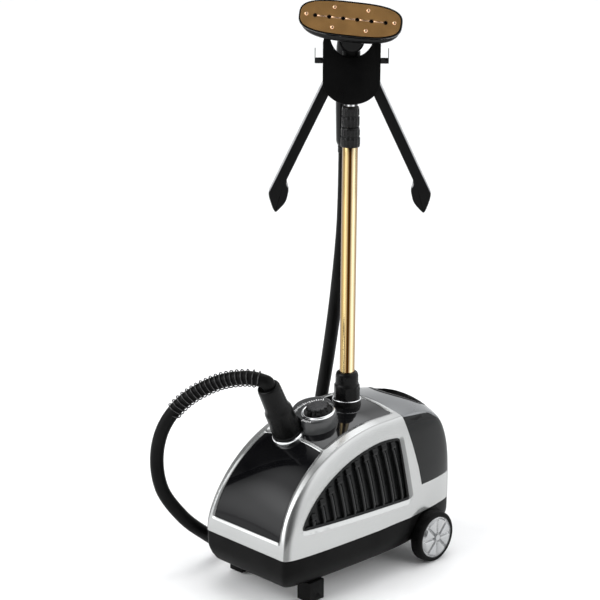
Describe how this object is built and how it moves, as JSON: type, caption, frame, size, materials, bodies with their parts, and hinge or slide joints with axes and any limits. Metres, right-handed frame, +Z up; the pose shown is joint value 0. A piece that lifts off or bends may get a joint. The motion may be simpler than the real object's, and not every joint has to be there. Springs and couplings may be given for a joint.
{
  "type": "garment steamer",
  "caption": "Upright garment steamer: wheeled arched housing with lift-out tank, flexible steam hose, telescopic pole, folding hanger arms and lift-off steam head.",
  "frame": {"origin": "on the floor, under the middle of the housing", "axes": "+Z up along the pole, -Y towards the housing's front panel, +X towards its right side"},
  "size_m": [0.309, 0.4539, 0.9397],
  "materials": {
    "tub_plastic": "fine textured black",
    "silver_lacquer": "satin silver lacquer",
    "panel_gloss": "polished black",
    "boss_plastic": "dark grey satin",
    "grille_plastic": "satin black",
    "tank_smoke": "smoke tinted, clear",
    "handle_plastic": "satin black",
    "knob_plastic": "polished black",
    "knob_face": "grey, spun look",
    "chrome_trim": "bright silver plate",
    "connector_plastic": "satin black",
    "spring_wire": "black coated wire",
    "hose_rubber": "black woven cover over silicone",
    "pole_gold": "polished gold anodised",
    "collar_plastic": "satin black",
    "holder_plastic": "black",
    "head_plastic": "black",
    "plate_bronze": "brushed bronze",
    "tyre_rubber": "black",
    "hub_silver": "silver lacquer",
    "steel": "plain",
    "boiler_cast": "as cast",
    "pipe_silicone": "translucent white",
    "switch_plastic": "dark grey"
  },
  "bodies": {
    "housing": {"base_tub": "tub_plastic", "base_plate": "tub_plastic", "base_screws": "steel", "frame_shell": "silver_lacquer", "front_panel": "panel_gloss", "top_deck": "panel_gloss", "knob_boss": "boss_plastic", "knob_ring": "chrome_trim", "rotary_switch": "switch_plastic", "louvre_right": "grille_plastic", "louvre_left": "grille_plastic", "tank_bay": "tub_plastic", "outlet_ring": "chrome_trim", "steam_pipe": "steel", "hose_connector": "connector_plastic", "hose_spring": "spring_wire", "hose_loop": "hose_rubber", "hose_riser": "hose_rubber", "pole_socket": "connector_plastic", "pole_socket_ring": "chrome_trim", "pole_outer": "pole_gold", "wheel_axle": "steel", "boiler": "boiler_cast", "thermostat": "steel", "water_pipe": "pipe_silicone", "cord_gland": "hose_rubber"},
    "tank": {"tank_shell": "tank_smoke", "tank_cover": "silver_lacquer", "tank_handle": "handle_plastic", "tank_grips": "handle_plastic", "tank_cap": "handle_plastic"},
    "control_knob": {"knob": "knob_plastic", "knob_cap": "knob_face"},
    "pole_middle": {"pole_mid": "pole_gold"},
    "pole_upper": {"pole_inner": "pole_gold", "pole_end_ring": "chrome_trim", "holder_bracket": "holder_plastic", "holder_plate": "holder_plastic", "hook_bars": "holder_plastic", "hook_pins": "holder_plastic", "arm_pins": "steel", "hose_tail": "hose_rubber"},
    "collar_lower": {"clamp_lower": "collar_plastic"},
    "collar_upper": {"clamp_upper": "collar_plastic"},
    "hanger_arm_left": {"arm_left": "holder_plastic"},
    "hanger_arm_right": {"arm_right": "holder_plastic"},
    "steam_head": {"head_shell": "head_plastic", "head_rim": "head_plastic", "head_plate": "plate_bronze", "head_rivets": "plate_bronze", "head_handle": "head_plastic", "hose_ferrule": "head_plastic"},
    "wheel_right": {"tyre_right": "tyre_rubber", "hub_right": "hub_silver"},
    "wheel_left": {"tyre_left": "tyre_rubber", "hub_left": "hub_silver"},
    "caster_right": {"caster_fork_right": "tub_plastic"},
    "caster_left": {"caster_fork_left": "tub_plastic"},
    "caster_roller_right": {"caster_wheel_right": "tyre_rubber"},
    "caster_roller_left": {"caster_wheel_left": "tyre_rubber"}
  },
  "joints": [
    {"name": "pole_extend", "type": "slide", "parent": "housing", "child": "pole_upper", "axis": [0, 0, 1], "range_m": [0, 0.6], "deforming": ["hose_riser"]},
    {"name": "pole_middle_follow", "type": "slide", "parent": "housing", "child": "pole_middle", "axis": [0, 0, 1], "range_m": [0, 0.3]},
    {"name": "collar_lower_twist", "type": "hinge", "parent": "housing", "child": "collar_lower", "pos_m": [0, 0.028, 0.72], "axis": [0, 0, 1], "range_deg": [0, 60]},
    {"name": "collar_upper_twist", "type": "hinge", "parent": "pole_middle", "child": "collar_upper", "pos_m": [0, 0.028, 0.753], "axis": [0, 0, 1], "range_deg": [0, 60]},
    {"name": "arm_left_fold", "type": "hinge", "parent": "pole_upper", "child": "hanger_arm_left", "pos_m": [-0.01697, -0.00311, 0.812], "axis": [-0.7071, 0.7071, 0], "range_deg": [0, 64]},
    {"name": "arm_right_fold", "type": "hinge", "parent": "pole_upper", "child": "hanger_arm_right", "pos_m": [0.03111, 0.04497, 0.812], "axis": [0.7071, -0.7071, 0], "range_deg": [0, 64]},
    {"name": "head_lift", "type": "slide", "parent": "pole_upper", "child": "steam_head", "axis": [0, 0, 1], "range_m": [0, 0.12], "deforming": ["hose_tail"]},
    {"name": "tank_lift", "type": "slide", "parent": "housing", "child": "tank", "axis": [0, 0, 1], "range_m": [0, 0.16]},
    {"name": "knob_turn", "type": "hinge", "parent": "housing", "child": "control_knob", "pos_m": [0.0128, -0.05178, 0.28097], "axis": [0, -0.225, 0.9744], "range_deg": [0, 270]},
    {"name": "wheel_right_spin", "type": "hinge", "parent": "housing", "child": "wheel_right", "pos_m": [0.114, 0.121, 0.0435], "axis": [1, 0, 0], "continuous": true},
    {"name": "wheel_left_spin", "type": "hinge", "parent": "housing", "child": "wheel_left", "pos_m": [-0.114, 0.121, 0.0435], "axis": [1, 0, 0], "continuous": true},
    {"name": "caster_right_swivel", "type": "hinge", "parent": "housing", "child": "caster_right", "pos_m": [0.079, -0.14, 0.05], "axis": [0, 0, 1], "continuous": true},
    {"name": "caster_left_swivel", "type": "hinge", "parent": "housing", "child": "caster_left", "pos_m": [-0.079, -0.14, 0.05], "axis": [0, 0, 1], "continuous": true},
    {"name": "caster_right_roll", "type": "hinge", "parent": "caster_right", "child": "caster_roller_right", "pos_m": [0.079, -0.133, 0.013], "axis": [1, 0, 0], "continuous": true},
    {"name": "caster_left_roll", "type": "hinge", "parent": "caster_left", "child": "caster_roller_left", "pos_m": [-0.079, -0.133, 0.013], "axis": [1, 0, 0], "continuous": true}
  ],
  "couplings": [
    {"joint": "pole_middle_follow", "follows": "pole_extend", "ratio": 0.5}
  ]
}
